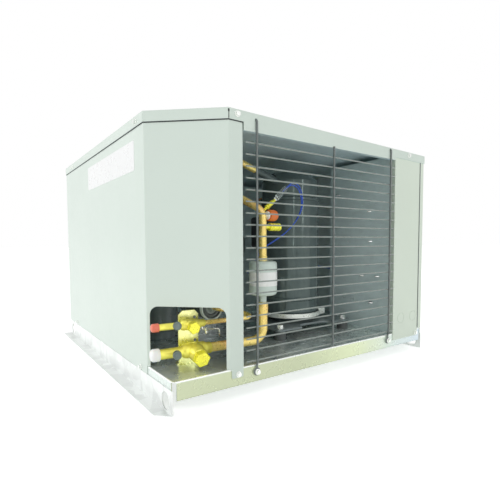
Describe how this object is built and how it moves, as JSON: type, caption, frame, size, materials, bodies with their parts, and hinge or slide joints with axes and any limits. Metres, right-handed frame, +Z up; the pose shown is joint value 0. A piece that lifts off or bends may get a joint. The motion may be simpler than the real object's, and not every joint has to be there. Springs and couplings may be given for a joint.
{
  "type": "refrigeration condensing unit",
  "caption": "Outdoor condensing unit: sheet cabinet with a wire guard front, hermetic compressor, coil, fan and two service valves at a cut-off corner.",
  "frame": {"origin": "on the ground under the centre of the bounding box", "axes": "+Y from the guarded front to the rear, +Z up, +X to the right seen from the front"},
  "size_m": [0.8086, 0.8378, 0.548],
  "materials": {
    "panel_paint": "smooth pale polyester powder coat",
    "galvanised": "galvanised sheet, passivated with a faint yellow tint",
    "rail_galvanised": "spangled galvanised strip",
    "zinc_screw": "bright zinc plate",
    "guard_wire": "plastic coated steel wire, dark grey, satin",
    "brass": "turned and forged brass, bright",
    "copper": "drawn copper tube, lightly tarnished",
    "black_paint": "gloss black enamel",
    "filter_paint": "blue grey enamel, semi-gloss",
    "drier_paint": "dark grey enamel",
    "heater_foil": "braided band over silicone strip",
    "rubber": "moulded black rubber",
    "black_plastic": "moulded black plastic",
    "grey_plastic": "moulded grey plastic",
    "white_plastic": "moulded natural nylon",
    "red_plastic": "moulded red polythene",
    "switch_plastic": "orange red moulding with a pale rim",
    "blue_lead": "blue PVC insulated leads",
    "coil_fins": "plain aluminium fins on copper tubes",
    "motor_paint": "satin black enamel",
    "blade_aluminium": "mill finish aluminium",
    "shaft_steel": "ground steel shaft",
    "can_aluminium": "drawn aluminium can"
  },
  "bodies": {
    "cabinet": {"access_fitting": "brass", "base_pan": "galvanised", "cabinet_screws": "zinc_screw", "capillary_tube": "zinc_screw", "coil_core": "coil_fins", "coil_end_plates": "galvanised", "compressor_bolts": "zinc_screw", "compressor_foot": "black_paint", "compressor_grommets": "rubber", "compressor_shell": "black_paint", "condensate_line": "copper", "contactor_base": "grey_plastic", "control_box": "galvanised", "control_cover": "panel_paint", "crankcase_heater": "heater_foil", "discharge_line": "copper", "fan_motor": "motor_paint", "fan_shroud": "galvanised", "filter_drier": "drier_paint", "guard_screws": "zinc_screw", "lead_grommet": "rubber", "left_rail": "rail_galvanised", "left_wrap_panel": "panel_paint", "lid": "panel_paint", "liquid_line": "copper", "liquid_plug": "red_plastic", "liquid_valve": "brass", "motor_straps": "galvanised", "port_caps": "black_plastic", "pressure_switch": "switch_plastic", "receiver": "black_paint", "receiver_line": "copper", "return_bends": "copper", "right_panel": "panel_paint", "right_rail": "rail_galvanised", "run_capacitor": "can_aluminium", "suction_filter": "filter_paint", "suction_line_lower": "copper", "suction_line_upper": "copper", "suction_plug": "white_plastic", "suction_valve": "brass", "switch_connector": "white_plastic", "switch_leads": "blue_lead", "switch_tee": "copper", "terminal_cover": "black_plastic", "terminal_strip": "white_plastic", "valve_bracket": "galvanised", "wire_guard": "guard_wire"},
    "fan": {"fan_shaft": "shaft_steel", "fan_blade": "blade_aluminium"},
    "suction_stem_turn": {"suction_stem": "brass"},
    "liquid_stem_turn": {"liquid_stem": "brass"},
    "suction_cap_off": {"suction_cap": "brass"},
    "liquid_cap_off": {"liquid_cap": "brass"},
    "armature": {"contactor_armature": "black_plastic"}
  },
  "joints": [
    {"name": "fan_spin", "type": "hinge", "parent": "cabinet", "child": "fan", "pos_m": [-0.0063, 0.22945, 0.29], "axis": [0, 1, 0], "continuous": true},
    {"name": "suction_stem_quarter_turn", "type": "hinge", "parent": "cabinet", "child": "suction_stem_turn", "pos_m": [-0.3033, -0.34855, 0.092], "axis": [-0.0846, -0.9666, -0.2419], "range_deg": [0, 90]},
    {"name": "liquid_stem_quarter_turn", "type": "hinge", "parent": "cabinet", "child": "liquid_stem_turn", "pos_m": [-0.3143, -0.34755, 0.143], "axis": [-0.0869, -0.9938, -0.0698], "range_deg": [0, 90]},
    {"name": "suction_cap_draw", "type": "slide", "parent": "cabinet", "child": "suction_cap_off", "axis": [-0.0846, -0.9666, -0.2419], "range_m": [0, 0.012]},
    {"name": "liquid_cap_draw", "type": "slide", "parent": "cabinet", "child": "liquid_cap_off", "axis": [-0.0869, -0.9938, -0.0698], "range_m": [0, 0.012]},
    {"name": "contactor_pull_in", "type": "slide", "parent": "cabinet", "child": "armature", "axis": [0, 1, 0], "range_m": [0, 0.003], "stiffness_N_per_m": 300}
  ]
}
